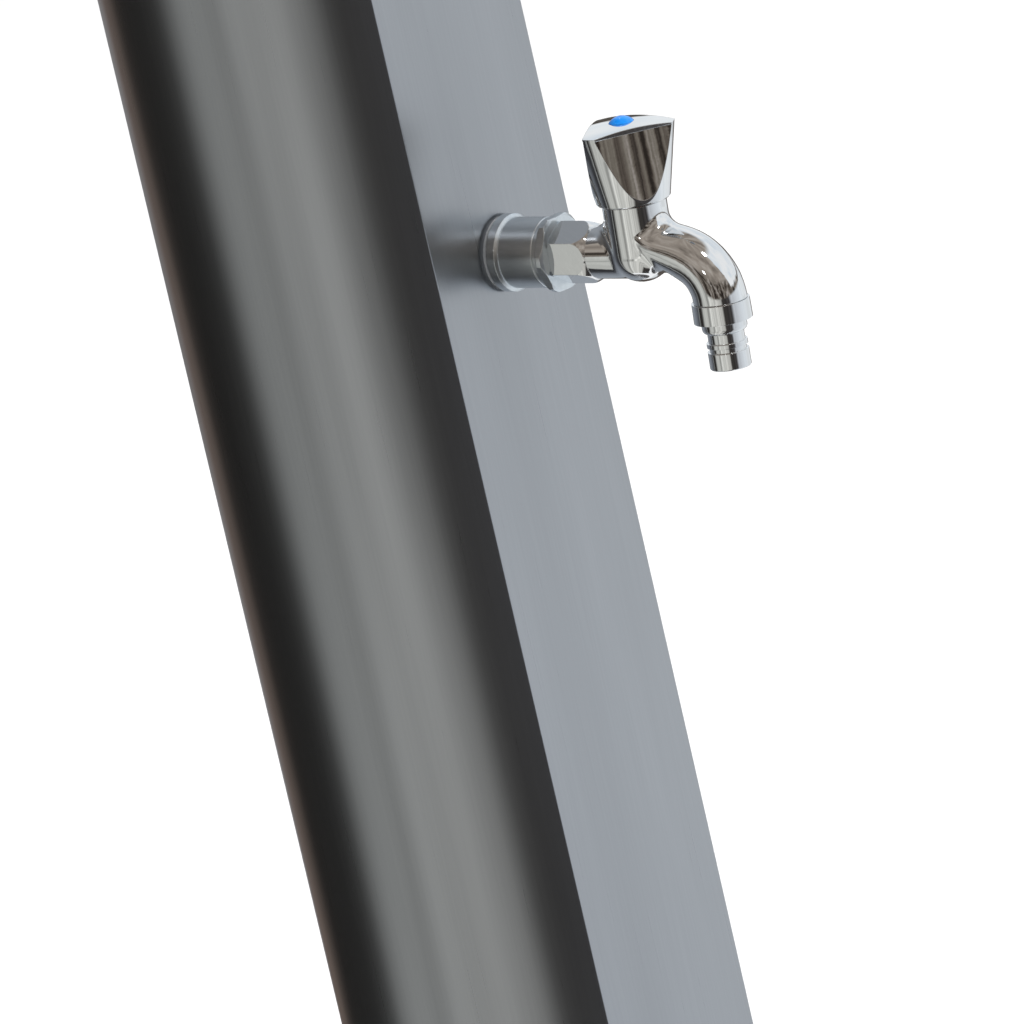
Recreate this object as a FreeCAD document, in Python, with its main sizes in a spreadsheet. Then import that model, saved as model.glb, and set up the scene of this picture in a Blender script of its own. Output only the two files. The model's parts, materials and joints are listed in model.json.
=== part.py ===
import FreeCAD, Part
import os
import re
import Sketcher

# Outdoor shower post: a stainless column with a curved back and one flat face. The face carries a chrome hose tap at
# knee height, the shower's stop valve at waist height and the arm of a rain head at the top.
# Frame: +Z up, the flat face looks along -Y, the origin is under the base plate on the column's axis. Millimetres.

DIMENSIONS = [
    # column
    ("post_height", 2200.0, "overall height of the column with its lid"),
    ("post_radius", 90.0, "outer radius of the curved back"),
    ("face_width", 104.0, "width of the flat face from crease to crease"),
    ("post_wall", 2.0, "sheet thickness of the column"),
    ("crease_radius", 0.8, "outer rounding of the two creases"),
    ("base_radius", 140.0, "base plate"),
    ("base_thickness", 10.0, "base plate"),
    ("base_chamfer", 1.5, "bevel round the top of the base plate"),
    ("anchor_circle", 115.0, "radius of the circle of anchor holes"),
    ("anchor_hole", 7.0, "radius of an anchor hole"),
    ("anchor_count", 4, "anchor holes"),
    # lid
    ("lid_thickness", 4.0, "lid plate"),
    ("lid_gasket", 1.5, "gasket under the lid"),
    ("lid_frame_width", 16.0, "welded frame that takes the lid screws"),
    ("lid_frame_thickness", 6.0, "welded frame that takes the lid screws"),
    ("lid_screw_radius", 2.0, "shank of a lid screw"),
    ("lid_screw_head", 3.8, "head radius of a lid screw"),
    ("lid_screw_count", 3, "lid screws"),
    # heights of what the column carries
    ("inlet_height", 75.0, "supply inlet on the back"),
    ("tap_height", 470.0, "hose tap"),
    ("valve_height", 1120.0, "stop valve of the shower"),
    ("arm_drop", 110.0, "top of the lid down to the shower arm"),
    # pipework inside the column
    ("riser_offset", 32.0, "flat face to riser axis"),
    ("pipe_radius", 7.5, "outer radius of the pipes"),
    ("pipe_wall", 1.0, "wall of the pipes"),
    ("fitting_radius", 11.5, "outer radius of the fittings' arms"),
    ("fitting_arm", 24.0, "fitting's centre to the end of an arm"),
    ("socket_depth", 13.0, "how far a pipe enters a fitting"),
    ("branch_radius", 14.0, "outer radius of the fittings' branches"),
    ("clip_height", 14.0, "pipe clip"),
    ("clip_wall", 2.5, "pipe clip's band round the pipe"),
    # supply inlet
    ("inlet_inside", 22.0, "inlet socket inside the column"),
    ("inlet_stand", 6.0, "inlet socket from the column to its hexagon"),
    ("inlet_flats", 27.0, "inlet's hexagon across flats"),
    ("inlet_hex_length", 8.0, "inlet's hexagon"),
    ("inlet_thread_length", 14.0, "inlet's outer thread"),
    # half-inch threads and their clearances
    ("thread_radius", 10.4, "half-inch male thread"),
    ("thread_gap", 0.1, "radial room in a screwed joint"),
    ("thread_length", 13.0, "engaged length of a screwed joint"),
    ("bore_radius", 5.5, "waterway of the valves and fittings"),
    ("wall_gap", 0.5, "radial room where a neck passes through the face"),
    ("running_gap", 0.05, "radial room of a turning or sliding fit"),
    ("axial_gap", 0.1, "room at the end of a turning fit"),
    ("free_gap", 0.5, "room between parts that pass one another"),
    # socket that holds the hose tap
    ("seal_radius", 16.3, "dark gasket behind the socket"),
    ("seal_thickness", 2.1, "dark gasket behind the socket"),
    ("flange_radius", 17.15, "socket's flange"),
    ("flange_thickness", 5.1, "socket's flange"),
    ("flange_bevel", 1.1, "bevel of the socket's flange"),
    ("sleeve_radius", 15.6, "socket's sleeve"),
    ("sleeve_length", 25.5, "socket from the gasket to its mouth"),
    ("sleeve_groove", 0.4, "turned groove near the socket's mouth"),
    ("sleeve_groove_place", 3.0, "groove to the socket's mouth"),
    ("lock_radius", 17.6, "lock ring over its rounded corners"),
    ("lock_flats", 32.5, "lock ring across flats"),
    ("lock_thickness", 4.0, "lock ring"),
    # hose tap
    ("tap_turn", 5.7, "degrees by which the screwed-in tap stands past plumb"),
    ("tap_reach", 73.0, "flat face to the axis of the tap's column"),
    ("hex_flats", 24.5, "tap's hexagon across flats"),
    ("hex_length", 19.0, "tap's hexagon with its turned nose"),
    ("hex_nose_radius", 11.8, "tap's hexagon at its turned nose"),
    ("hex_nose_length", 7.1, "length of the hexagon's turned nose"),
    ("neck_radius", 11.7, "tap between hexagon and column"),
    ("column_radius", 14.2, "tap's column under the handle, and its round foot"),
    ("column_foot", 13.0, "inlet axis down to the column's round foot"),
    ("column_height", 22.7, "inlet axis to the top of the tap's column"),
    ("saddle_radius", 8.5, "rounding where the column meets the neck and the spout"),
    ("spout_reach", 36.9, "tap's column to the axis of its outlet"),
    ("spout_drop", 21.7, "inlet axis down to the spout's end"),
    ("spout_bend", 21.6, "radius of the spout's bend"),
    ("spout_slope", 29.0, "degrees by which the spout falls before its bend"),
    ("spout_rise", 11.8, "inlet axis up to where the spout's line leaves the column"),
    ("spout_root", 13.4, "spout's radius inside the column"),
    ("spout_waist", 11.6, "spout's radius at the start of the bend"),
    ("spout_mouth", 11.9, "spout's radius at its end"),
    ("spout_wall", 3.4, "metal round the spout's waterway"),
    ("outlet_start", 7.5, "column's axis to the start of the spout's waterway"),
    ("outlet_rise", 12.5, "inlet axis up to the start of the spout's waterway"),
    ("outlet_radius", 3.5, "spout's waterway at its start"),
    ("spout_thread", 11.0, "radius of the outlet thread"),
    ("spout_thread_length", 3.8, "outlet thread below the spout"),
    # hose connection
    ("nut_radius", 12.8, "outlet nut at its top"),
    ("nut_foot_radius", 12.9, "outlet nut at its foot"),
    ("nut_height", 8.8, "outlet nut"),
    ("nut_lip", 1.6, "outlet nut's inner lip"),
    ("nipple_shoulder", 9.95, "nipple's shoulder"),
    ("nipple_shoulder_length", 2.9, "nipple's shoulder"),
    ("nipple_round", 2.4, "height over which the shoulder rounds into the neck"),
    ("nipple_neck", 8.05, "nipple's neck"),
    ("nipple_neck_length", 9.5, "nut to the nipple's ring"),
    ("nipple_ring", 9.0, "nipple's ring"),
    ("nipple_ring_width", 2.0, "nipple's ring"),
    ("nipple_tip", 9.1, "nipple's tip"),
    ("nipple_length", 21.2, "nipple below the nut"),
    ("nipple_tip_length", 7.6, "nipple's tip"),
    ("nipple_flange", 10.8, "nipple's flange inside the nut"),
    ("nipple_flange_thickness", 2.0, "nipple's flange inside the nut"),
    ("nipple_bore", 5.5, "nipple's waterway"),
    # headwork: the screw mechanism that the tap and the stop valve share
    ("seat_depth", 14.4, "column's top down to the valve seat"),
    ("seat_bore", 5.0, "hole in the valve seat"),
    ("seat_lip", 1.8, "width of the seat's lip"),
    ("seat_groove", 2.5, "depth of the groove round the seat"),
    ("chamber_radius", 9.5, "chamber above the seat"),
    ("lift", 5.0, "travel of the valve disc"),
    ("bonnet_gasket", 1.0, "gasket under the bonnet's flange"),
    ("bonnet_flange_radius", 12.0, "bonnet's flange"),
    ("bonnet_flange", 2.0, "thickness of the bonnet's flange"),
    ("bonnet_flats", 17.0, "bonnet's hexagon across flats"),
    ("bonnet_skirt", 9.0, "bonnet below the column's top"),
    ("guide_length", 4.0, "bonnet's guide for the spindle"),
    ("spindle_radius", 5.0, "spindle in its guide"),
    ("spindle_collar", 6.5, "spindle's retaining collar"),
    ("spindle_collar_thickness", 1.6, "spindle's retaining collar"),
    ("spindle_thread", 3.5, "spindle's lower thread"),
    ("spindle_spline", 4.2, "spindle inside the handle"),
    ("spline_length", 9.6, "spindle inside the handle"),
    ("ring_wire", 0.66, "wire radius of the spindle's sealing ring"),
    ("carrier_radius", 6.95, "disc carrier"),
    ("carrier_length", 11.0, "disc carrier"),
    ("carrier_floor", 3.0, "disc carrier's floor"),
    ("key_radius", 8.2, "carrier's two keys, measured from the axis"),
    ("key_width", 3.0, "carrier's keys"),
    ("key_height", 6.5, "carrier's keys"),
    ("disc_radius", 6.5, "rubber valve disc"),
    ("disc_thickness", 3.0, "rubber valve disc"),
    ("disc_gap", 0.05, "rest position of the disc above its seat"),
    ("disc_screw_radius", 1.5, "shank of the disc screw"),
    ("disc_screw_head", 3.2, "head radius of the disc screw"),
    ("disc_screw_head_height", 1.5, "head of the disc screw"),
    # triangular handle
    ("handle_gap", 0.5, "room between the column and the handle"),
    ("tap_handle_angle", -66.7, "direction of a corner of the hose tap's handle"),
    ("valve_handle_angle", 90.0, "direction of a corner of the stop valve's handle"),
    ("handle_height", 33.0, "handle up to its corners"),
    ("handle_crown", 2.2, "rise of the top from corner to centre"),
    ("handle_foot_radius", 16.3, "handle at its foot"),
    ("handle_corner_radius", 23.1, "handle at its top corners"),
    ("handle_side", 14.4, "axis to the upper edge of a side"),
    ("handle_sides", 3, "scooped sides"),
    ("scoop_start", 0.6, "height of the scoops' lower ends"),
    ("scoop_radius", 58.0, "hollow of a scooped side"),
    ("scoop_rim", 1.9, "raised rim below a scoop"),
    ("scoop_depth", 3.2, "depth of a scoop at the top"),
    ("scoop_lid", 1.2, "metal over the scoops' upper ends"),
    ("handle_recess", 12.7, "handle's recess round the bonnet"),
    ("handle_roof", 2.6, "metal between spindle and handle screw"),
    ("handle_screw_radius", 2.05, "shank of the handle screw"),
    ("handle_screw_head", 3.6, "head radius of the handle screw"),
    ("handle_screw_head_height", 2.2, "head of the handle screw"),
    ("handle_screw_length", 9.0, "shank of the handle screw"),
    ("index_radius", 5.5, "coloured index disc"),
    ("index_depth", 2.0, "recess of the index disc"),
    ("index_crown", 2.6, "swell of the index disc"),
    ("index_plug", 3.9, "plug of the index disc"),
    ("index_plug_length", 4.0, "plug of the index disc"),
    # stop valve
    ("valve_stand", 13.0, "top of the valve's column in front of the face"),
    ("rosette_radius", 27.0, "rosettes of the stop valve and the arm"),
    ("rosette_thickness", 5.0, "rosettes of the stop valve and the arm"),
    ("valve_neck", 12.9, "thread of the valve's column through the face"),
    ("valve_nut_flats", 34.0, "nut in front of the valve's rosette"),
    ("valve_nut_thickness", 5.0, "nut in front of the valve's rosette"),
    ("side_bore", 2.0, "passage from the valve's chamber to its upper arm"),
    # shower arm
    ("arm_radius", 11.0, "outer radius of the arm tube"),
    ("arm_wall", 1.5, "wall of the arm tube"),
    ("arm_reach", 340.0, "flat face to the axis of the rain head"),
    ("arm_bend", 60.0, "radius of the arm's bend"),
    ("arm_tail", 30.0, "straight end of the arm below its bend"),
    ("arm_socket_radius", 15.0, "socket that holds the arm"),
    ("arm_socket_length", 22.0, "socket in front of the face"),
    ("arm_insert", 14.0, "how far the arm tube enters its sockets"),
    # ball joint
    ("ball_radius", 9.0, "ball"),
    ("ball_gap", 0.08, "room between the spherical surfaces"),
    ("ball_ring", 1.3, "thickness of the two rings under the ball"),
    ("ring_low", 24.0, "degrees from the downward axis to the rings' inner edge"),
    ("ring_high", 56.0, "degrees from the downward axis to the rings' outer edge"),
    ("stem_neck", 4.5, "ball's neck"),
    ("stem_bore", 3.0, "waterway through the ball"),
    ("stem_rise", 15.0, "ball's centre to the stem's collar"),
    ("stem_seat", 5.0, "stem's collar up to the arm tube's end"),
    ("cap_nut_radius", 17.0, "nut that holds the ball"),
    ("cap_nut_rise", 9.0, "nut above the ball's centre"),
    ("cap_nut_depth", 8.0, "nut below the ball's centre"),
    ("cap_nut_thread", 14.0, "nut's thread"),
    ("cap_nut_lip", 4.5, "height of the nut's spherical lip"),
    # rain head
    ("head_radius", 100.0, "rain head"),
    ("head_top", 20.0, "ball's centre down to the head's upper face"),
    ("head_depth", 14.0, "edge height of the rain head"),
    ("head_wall", 1.8, "shell of the rain head"),
    ("head_slope", 4.0, "fall of the upper face from centre to edge"),
    ("head_rim", 12.0, "width of the solid rim that takes the screws"),
    ("head_edge", 1.2, "bevels round the rain head"),
    ("plate_thickness", 2.5, "spray plate"),
    ("plate_edge", 3.0, "rim of the head round the spray plate"),
    ("plate_gap", 0.3, "radial room round the spray plate"),
    ("plate_screw_radius", 1.5, "shank of a plate screw"),
    ("plate_screw_head", 2.8, "head radius of a plate screw"),
    ("plate_screw_count", 6, "plate screws"),
    ("mat_thickness", 1.2, "silicone nozzle mat"),
    ("nozzle_bore", 0.6, "nozzle's hole"),
    ("nozzle_radius", 1.9, "nozzle in its hole"),
    ("nozzle_tip", 1.3, "nozzle at its tip"),
    ("nozzle_stand", 2.0, "nozzle below the spray plate"),
    ("nozzle_pitch", 22.0, "distance between the rings of nozzles"),
    ("nozzle_rings", 3, "rings of nozzles"),
    ("nozzle_step", 6, "nozzles in the first ring, and more in each next one"),
]

# Places that follow from the driving dimensions
FACE = "sqrt(post_radius^2 - (face_width/2)^2)"
TUBE_TOP = "(post_height - lid_thickness - lid_gasket)"
ARM = "(post_height - arm_drop)"
PIPE_STOP = "(fitting_arm - socket_depth)"
SOCKET_MOUTH = "(seal_thickness + sleeve_length)"
TAP_SHOULDER = "(tap_reach - seal_thickness - sleeve_length - lock_thickness)"
DISC_FOOT = "(disc_gap - seat_depth)"
CARRIER_FOOT = "(disc_gap - seat_depth + disc_thickness)"
SPINDLE_FOOT = f"({CARRIER_FOOT} + carrier_floor + lift + free_gap)"
COLLAR_FOOT = f"({CARRIER_FOOT} + carrier_length + lift + free_gap)"
GUIDE_FOOT = f"({COLLAR_FOOT} + spindle_collar_thickness + axial_gap)"
BONNET_TOP = f"({GUIDE_FOOT} + guide_length)"
HUB = f"({BONNET_TOP} + free_gap)"
HANDLE_HUB = f"({HUB} - handle_gap)"
HANDLE_ROOF = f"({HANDLE_HUB} + spline_length + axial_gap)"
HANDLE_TOP = "(handle_height + handle_crown)"
SPOUT_TURN = "(spout_reach - spout_bend + spout_bend * sin(spout_slope))"
SPOUT_CENTRE = f"(spout_rise - {SPOUT_TURN} * tan(spout_slope) - spout_bend * cos(spout_slope))"
HEAD_FOOT = "(head_top + head_slope + head_depth)"
CAVITY = "(ball_radius + 3 * ball_gap + 2 * ball_ring)"
LIP = "(ball_radius + ball_gap)"
PLATE = "(head_radius - plate_edge - plate_gap)"
PLATE_SCREWS = "(head_radius - head_rim / 2 - plate_edge / 2)"
SPOUT_STEPS = 4

doc = FreeCAD.newDocument("ShowerPost")
sheet = doc.addObject("Spreadsheet::Sheet", "Dims")
for line, (alias, number, note) in enumerate(DIMENSIONS, 1):
    sheet.set(f"A{line}", note)
    sheet.set(f"B{line}", str(number))
    sheet.setAlias(f"B{line}", alias)
doc.recompute()

ALIASES = {alias for alias, number, note in DIMENSIONS}
WORD = re.compile(r"[a-z][a-z_]*")
VERTICAL = FreeCAD.Vector(0, 0, 1)
pieces = {}


def dim(expression):
    """The expression with every dimension's name written as its cell."""
    return WORD.sub(lambda m: "Dims." + m.group() if m.group() in ALIASES else m.group(), str(expression))


def size(expression):
    """The expression's value now, for the first shape of a sketch."""
    return float(sheet.evalExpression(dim(expression)))


def whole(alias):
    return int(round(size(alias)))


# Frames: each is a named placement that the pieces refer to

def frame(name, expression):
    doc.addObject("App::Placement", name).setExpression("Placement", dim(expression))


def shift(x, y, z):
    return f"placement(vector({x}; {y}; {z}); rotation(vector(0;0;1); 0))"


def turn(axis, angle):
    return f"placement(vector(0;0;0); rotation(vector({axis}); {angle}))"


ABOUT_X, ABOUT_Z = "1;0;0", "0;0;1"

frame("column_frame", shift(0, 0, 0))
frame("riser_frame", shift(0, f"riser_offset - {FACE}", 0))
BACKWARDS = turn(ABOUT_X, -90) + " * " + turn(ABOUT_Z, 180)
frame("inlet_back", shift(0, 0, "inlet_height") + " * " + BACKWARDS)
frame("inlet_riser", shift(0, f"riser_offset - {FACE}", "inlet_height") + " * " + BACKWARDS)
frame("inlet_turned", "inlet_riser.Placement * " + turn(ABOUT_Z, 180))
frame("lid_top", shift(0, 0, "post_height"))
for name, height in (("tap", "tap_height"), ("valve", "valve_height"), ("arm", ARM)):
    frame(f"{name}_face", shift(0, f"-{FACE}", height) + " * " + turn(ABOUT_X, 90))
    frame(f"{name}_riser", f"{name}_face.Placement * " + shift(0, 0, "-riser_offset"))
frame("tap_axis", "tap_face.Placement * " + turn(ABOUT_Z, "-tap_turn"))
frame("tap_column", "tap_axis.Placement * " + shift(0, 0, "tap_reach") + " * " + turn(ABOUT_X, -90))
frame("tap_outlet", "tap_column.Placement * " + shift(0, "-spout_reach", "-spout_drop"))
frame("tap_headwork", "tap_column.Placement * " + shift(0, 0, "column_height"))
frame("valve_headwork", "valve_face.Placement * " + shift(0, 0, "valve_stand"))
frame("ball_frame", shift(0, f"-({FACE} + arm_reach)", f"{ARM} - arm_bend - arm_tail - stem_seat - stem_rise"))
frame("head_underside", "ball_frame.Placement * " + shift(0, 0, f"-{HEAD_FOOT}") + " * " + turn(ABOUT_X, 180))


# Sketches and bodies

def body_at(label, place, offset="0", angle="0"):
    """A new body whose origin lies offset along the frame's Z axis, turned about it by angle."""
    body = doc.addObject("PartDesign::Body", label)
    body.Label = label
    body.setExpression("Placement", dim(f"{place}.Placement * " + shift(0, 0, offset) + " * " + turn(ABOUT_Z, angle)))
    pieces[label] = body
    return body


def sketch_on(body, plane, offset=None):
    """A sketch on one of the body's own planes, moved and turned in that plane's axes by offset."""
    sketch = body.newObject("Sketcher::SketchObject", body.Name + "_sketch")
    origin_plane = next(o for o in body.Origin.OriginFeatures if o.Role == plane + "_Plane")
    sketch.AttachmentSupport = [(origin_plane, "")]
    sketch.MapMode = "FlatFace"
    if offset:
        sketch.setExpression("AttachmentOffset", dim(offset))
    return sketch


def bind(sketch, kind, *where_and_size):
    """Adds a driving constraint whose size is an expression."""
    *where, expression = where_and_size
    row = sketch.addConstraint(Sketcher.Constraint(kind, *where, size(expression)))
    sketch.setExpression(f"Constraints[{row}]", dim(expression))


def draw(sketch, corners):
    """A closed outline. A corner is (x, y), or (x, y, radius) where an arc of that radius leads to it, its centre on
    the left of the way there, or on the right where the radius starts with a minus sign."""
    first = len(sketch.Geometry)
    points = [FreeCAD.Vector(size(c[0]), size(c[1]), 0) for c in corners]
    ends = []
    for i, start in enumerate(points):
        follower = (i + 1) % len(points)
        stop, corner = points[follower], corners[follower]
        if len(corner) == 2:
            sketch.addGeometry(Part.LineSegment(start, stop))
            ends.append((1, 2))
            continue
        right_hand = corner[2].startswith("-")
        radius = size(corner[2].lstrip("-"))
        half = (stop - start) * 0.5
        rise = max(radius ** 2 - half.Length ** 2, 0) ** 0.5
        left = VERTICAL.cross(half).normalize() * (-1 if right_hand else 1)
        centre = start + half + left * rise
        circle = Part.Circle(centre, VERTICAL, radius)
        low, high = (stop, start) if right_hand else (start, stop)
        sketch.addGeometry(Part.ArcOfCircle(circle, circle.parameter(low), circle.parameter(high)))
        ends.append((2, 1) if right_hand else (1, 2))
    for i, corner in enumerate(corners):
        before = (i - 1) % len(corners)
        sketch.addConstraint(Sketcher.Constraint("Coincident", first + before, ends[before][1], first + i, ends[i][0]))
        bind(sketch, "DistanceX", -1, 1, first + i, ends[i][0], corner[0])
        bind(sketch, "DistanceY", -1, 1, first + i, ends[i][0], corner[1])
        if len(corner) == 3:
            bind(sketch, "Radius", first + before, corner[2].lstrip("-"))
    return sketch


def circle(sketch, radius, x="0", y="0"):
    row = sketch.addGeometry(Part.Circle(FreeCAD.Vector(size(x), size(y), 0), VERTICAL, size(radius)))
    bind(sketch, "DistanceX", -1, 1, row, 3, x)
    bind(sketch, "DistanceY", -1, 1, row, 3, y)
    bind(sketch, "Radius", row, radius)
    return sketch


def hexagon(sketch, flats, first=0):
    """A hexagon with its first corner at that many degrees."""
    corner = f"{flats} / sqrt(3)"
    return draw(sketch, [(f"{corner} * cos({60 * k + first})", f"{corner} * sin({60 * k + first})")
                         for k in range(6)])


def feature(body, kind, sketch, **settings):
    """A sketch-based feature. Numbers given as text are bound to the sheet."""
    made = body.newObject("PartDesign::" + kind, body.Name + "_" + kind.lower())
    made.Profile = sketch
    for key, value in settings.items():
        if isinstance(value, str):
            made.setExpression(key, dim(value))
        else:
            setattr(made, key, value)
    return made


def revolve(body, sketch, kind="Revolution", axis="V_Axis", **settings):
    return feature(body, kind, sketch, ReferenceAxis=(sketch, [axis]), **{"Angle": 360.0, **settings})


def turned(label, place, offset, corners):
    """A piece turned about its own Z axis, from the corners (radius, height) of its half section."""
    body = body_at(label, place, offset)
    revolve(body, draw(sketch_on(body, "XZ"), corners))
    return body


def ring(label, place, offset, inner, outer, height):
    return turned(label, place, offset, [(inner, 0), (outer, 0), (outer, height), (inner, height)])


def round_edges(body, label, radius, chosen):
    """Rounds the edges that chosen picks by their bounding box and length."""
    doc.recompute()
    base = body.Tip
    edges = [f"Edge{i}" for i, edge in enumerate(base.Shape.Edges, 1) if chosen(edge.BoundBox, edge.Length)]
    rounding = body.newObject("PartDesign::Fillet", label)
    rounding.Base = (base, edges)
    rounding.setExpression("Radius", dim(radius))


def repeat(body, originals, count, axis):
    """Copies of the features all round an axis, given as (sketch, [name])."""
    pattern = body.newObject("PartDesign::PolarPattern", body.Name + "_pattern")
    pattern.Originals = originals
    pattern.Axis = axis
    pattern.Angle = 360.0
    pattern.setExpression("Occurrences", dim(count))
    body.Tip = pattern


def own_axis(sketch, x):
    """A construction line at x, parallel to the sketch's V axis, for features that turn about it."""
    foot = FreeCAD.Vector(size(x), 0, 0)
    row = sketch.addGeometry(Part.LineSegment(foot, foot + FreeCAD.Vector(0, 10, 0)), True)
    sketch.addConstraint(Sketcher.Constraint("Vertical", row))
    bind(sketch, "DistanceX", -1, 1, row, 1, x)
    bind(sketch, "DistanceY", -1, 1, row, 1, "0")
    bind(sketch, "DistanceY", row, 1, row, 2, "10")


def screw_ring(label, place, ring_radius, count, shank, head, length):
    """Countersunk screws in a ring round the frame's Z axis, heads flush with its origin, one solid each."""
    body = body_at(label, place)
    sketch = sketch_on(body, "YZ")
    draw(sketch, [(ring_radius, f"-{length}"), (f"{ring_radius} + {shank}", f"-{length}"),
                  (f"{ring_radius} + {shank}", f"{shank} - {head}"), (f"{ring_radius} + {head}", 0),
                  (ring_radius, 0)])
    own_axis(sketch, ring_radius)
    repeat(body, [revolve(body, sketch, axis="Axis0")], count, (sketch, ["V_Axis"]))


def screw_holes(body, ring_radius, count, shank, head, top, depth):
    """Countersunk holes for such screws, from top downwards."""
    sketch = sketch_on(body, "YZ")
    draw(sketch, [(ring_radius, f"{top} - {depth}"), (f"{ring_radius} + {shank}", f"{top} - {depth}"),
                  (f"{ring_radius} + {shank}", f"{top} + {shank} - {head}"), (f"{ring_radius} + {head}", top),
                  (ring_radius, top)])
    own_axis(sketch, ring_radius)
    repeat(body, [revolve(body, sketch, "Groove", "Axis0")], count, (sketch, ["V_Axis"]))


def plain_holes(body, radius, ring_radius, count, foot, depth, first_angle=90):
    """Round holes in a ring, from foot upwards."""
    sketch = circle(sketch_on(body, "XY", shift(0, 0, foot)), radius, f"{ring_radius} * cos({first_angle})",
                    f"{ring_radius} * sin({first_angle})")
    repeat(body, [feature(body, "Pocket", sketch, Length=depth, Reversed=True)], count, (sketch, ["N_Axis"]))


# Column

def d_outline(inset):
    """The column's section: a chord for the flat face, then the curved back in two arcs."""
    radius, face = f"(post_radius - {inset})", f"({FACE} - {inset})"
    half = f"sqrt({radius}^2 - {face}^2)"
    return [(f"-{half}", f"-{face}", radius), (half, f"-{face}"), ("0", radius, radius)]


def d_plate(label, foot, thickness, outer_inset, inner_inset=None):
    body = body_at(label, "column_frame", foot)
    sketch = draw(sketch_on(body, "XY"), d_outline(outer_inset))
    if inner_inset:
        draw(sketch, d_outline(inner_inset))
    feature(body, "Pad", sketch, Length=thickness)
    return body


def face_hole(body, radius, height):
    """A round hole through the flat wall alone."""
    sketch = circle(sketch_on(body, "XZ", shift(0, height, FACE)), radius)
    feature(body, "Pocket", sketch, Length="2 * post_wall")


def base_plate():
    body = turned("base_plate", "column_frame", 0, [
        (0, 0), ("base_radius", 0), ("base_radius", "base_thickness - base_chamfer"),
        ("base_radius - base_chamfer", "base_thickness"), (0, "base_thickness")])
    plain_holes(body, "anchor_hole", "anchor_circle", "anchor_count", 0, "base_thickness", 45)


def post_shell():
    body = d_plate("post_shell", "base_thickness", f"{TUBE_TOP} - base_thickness", "0")
    round_edges(body, "creases", "crease_radius", lambda box, length: length > 100 and abs(box.Center.x) > 1)
    feature(body, "Pocket", draw(sketch_on(body, "XY"), d_outline("post_wall")), Reversed=True,
            Length=f"{TUBE_TOP} - base_thickness")
    face_hole(body, "thread_radius + wall_gap", "tap_height - base_thickness")
    face_hole(body, "valve_neck + wall_gap", "valve_height - base_thickness")
    face_hole(body, "thread_radius + wall_gap", f"{ARM} - base_thickness")
    rear = circle(sketch_on(body, "XZ", shift(0, "inlet_height - base_thickness", "-post_radius")), "fitting_radius")
    feature(body, "Pocket", rear, Length="3 * post_wall", Reversed=True)


def lid():
    ring_radius = "(post_radius - post_wall - lid_frame_width / 2)"
    inner = "(post_wall + lid_frame_width)"
    frame_foot = f"{TUBE_TOP} - lid_frame_thickness"
    body = d_plate("lid_frame", frame_foot, "lid_frame_thickness", "post_wall", inner)
    plain_holes(body, "lid_screw_radius", ring_radius, "lid_screw_count", 0, "lid_frame_thickness")
    body = d_plate("lid_gasket", TUBE_TOP, "lid_gasket", "0", inner)
    plain_holes(body, "lid_screw_radius", ring_radius, "lid_screw_count", 0, "lid_gasket")
    body = d_plate("lid_plate", "post_height - lid_thickness", "lid_thickness", "0")
    screw_holes(body, ring_radius, "lid_screw_count", "lid_screw_radius", "lid_screw_head", "lid_thickness",
                "lid_thickness")
    screw_ring("lid_screws", "lid_top", ring_radius, "lid_screw_count", "lid_screw_radius", "lid_screw_head",
               "(lid_thickness + lid_gasket + lid_frame_thickness)")


# Pipework inside the column

def across(body, height, radius, length, kind, **settings):
    """A round pad or pocket along the piece's Y axis: its sketch lies at height and faces -Y."""
    sketch = circle(sketch_on(body, "XZ", shift(0, 0, f"-({height})")), radius)
    return feature(body, kind, sketch, Length=length, **settings)


def fitting(label, place, reach, socket, depth, top):
    """A cast fitting on the riser. Its branch runs out along Z and its arms along Y: both where top is the arm's
    length, and the lower one alone where top is less."""
    body = turned(label, place, 0, [(0, 0), ("branch_radius", 0), ("branch_radius", reach), (0, reach)])
    across(body, top, "fitting_radius", f"{top} + fitting_arm", "Pad")
    revolve(body, draw(sketch_on(body, "XZ"), [
        (0, 0), ("bore_radius", 0), ("bore_radius", f"{reach} - {depth}"), (socket, f"{reach} - {depth}"),
        (socket, reach), (0, reach)]), "Groove")
    across(body, "-fitting_arm", "pipe_radius", "socket_depth", "Pocket")
    across(body, "-fitting_arm", "bore_radius", "fitting_arm", "Pocket")
    return body


def tee(label, place, reach, socket, depth):
    body = fitting(label, place, reach, socket, depth, "fitting_arm")
    across(body, "fitting_arm", "pipe_radius", "socket_depth", "Pocket", Reversed=True)
    across(body, "fitting_arm", "bore_radius", "fitting_arm", "Pocket", Reversed=True)


def pipe(label, place, foot, top):
    ring(label, place, foot, "pipe_radius - pipe_wall", "pipe_radius", f"{top} - ({foot})")


def inlet():
    run = "post_radius - post_wall - inlet_inside"
    stand = "(inlet_inside + post_wall + inlet_stand)"
    end = f"({stand} + inlet_hex_length + inlet_thread_length)"
    body = turned("inlet_socket", "inlet_back", run, [
        (0, 0), ("fitting_radius", 0), ("fitting_radius", stand), ("thread_radius", stand), ("thread_radius", end),
        (0, end)])
    feature(body, "Pad", hexagon(sketch_on(body, "XY", shift(0, 0, stand)), "inlet_flats"), Length="inlet_hex_length")
    revolve(body, draw(sketch_on(body, "XZ"), [
        (0, 0), ("pipe_radius", 0), ("pipe_radius", "socket_depth"), ("bore_radius", "socket_depth"),
        ("bore_radius", end), (0, end)]), "Groove")
    pipe("inlet_pipe", "inlet_riser", PIPE_STOP, f"({run} + socket_depth + {FACE} - riser_offset)")
    fitting("inlet_elbow", "inlet_turned", "fitting_arm", "pipe_radius", "socket_depth", "fitting_radius")


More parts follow.
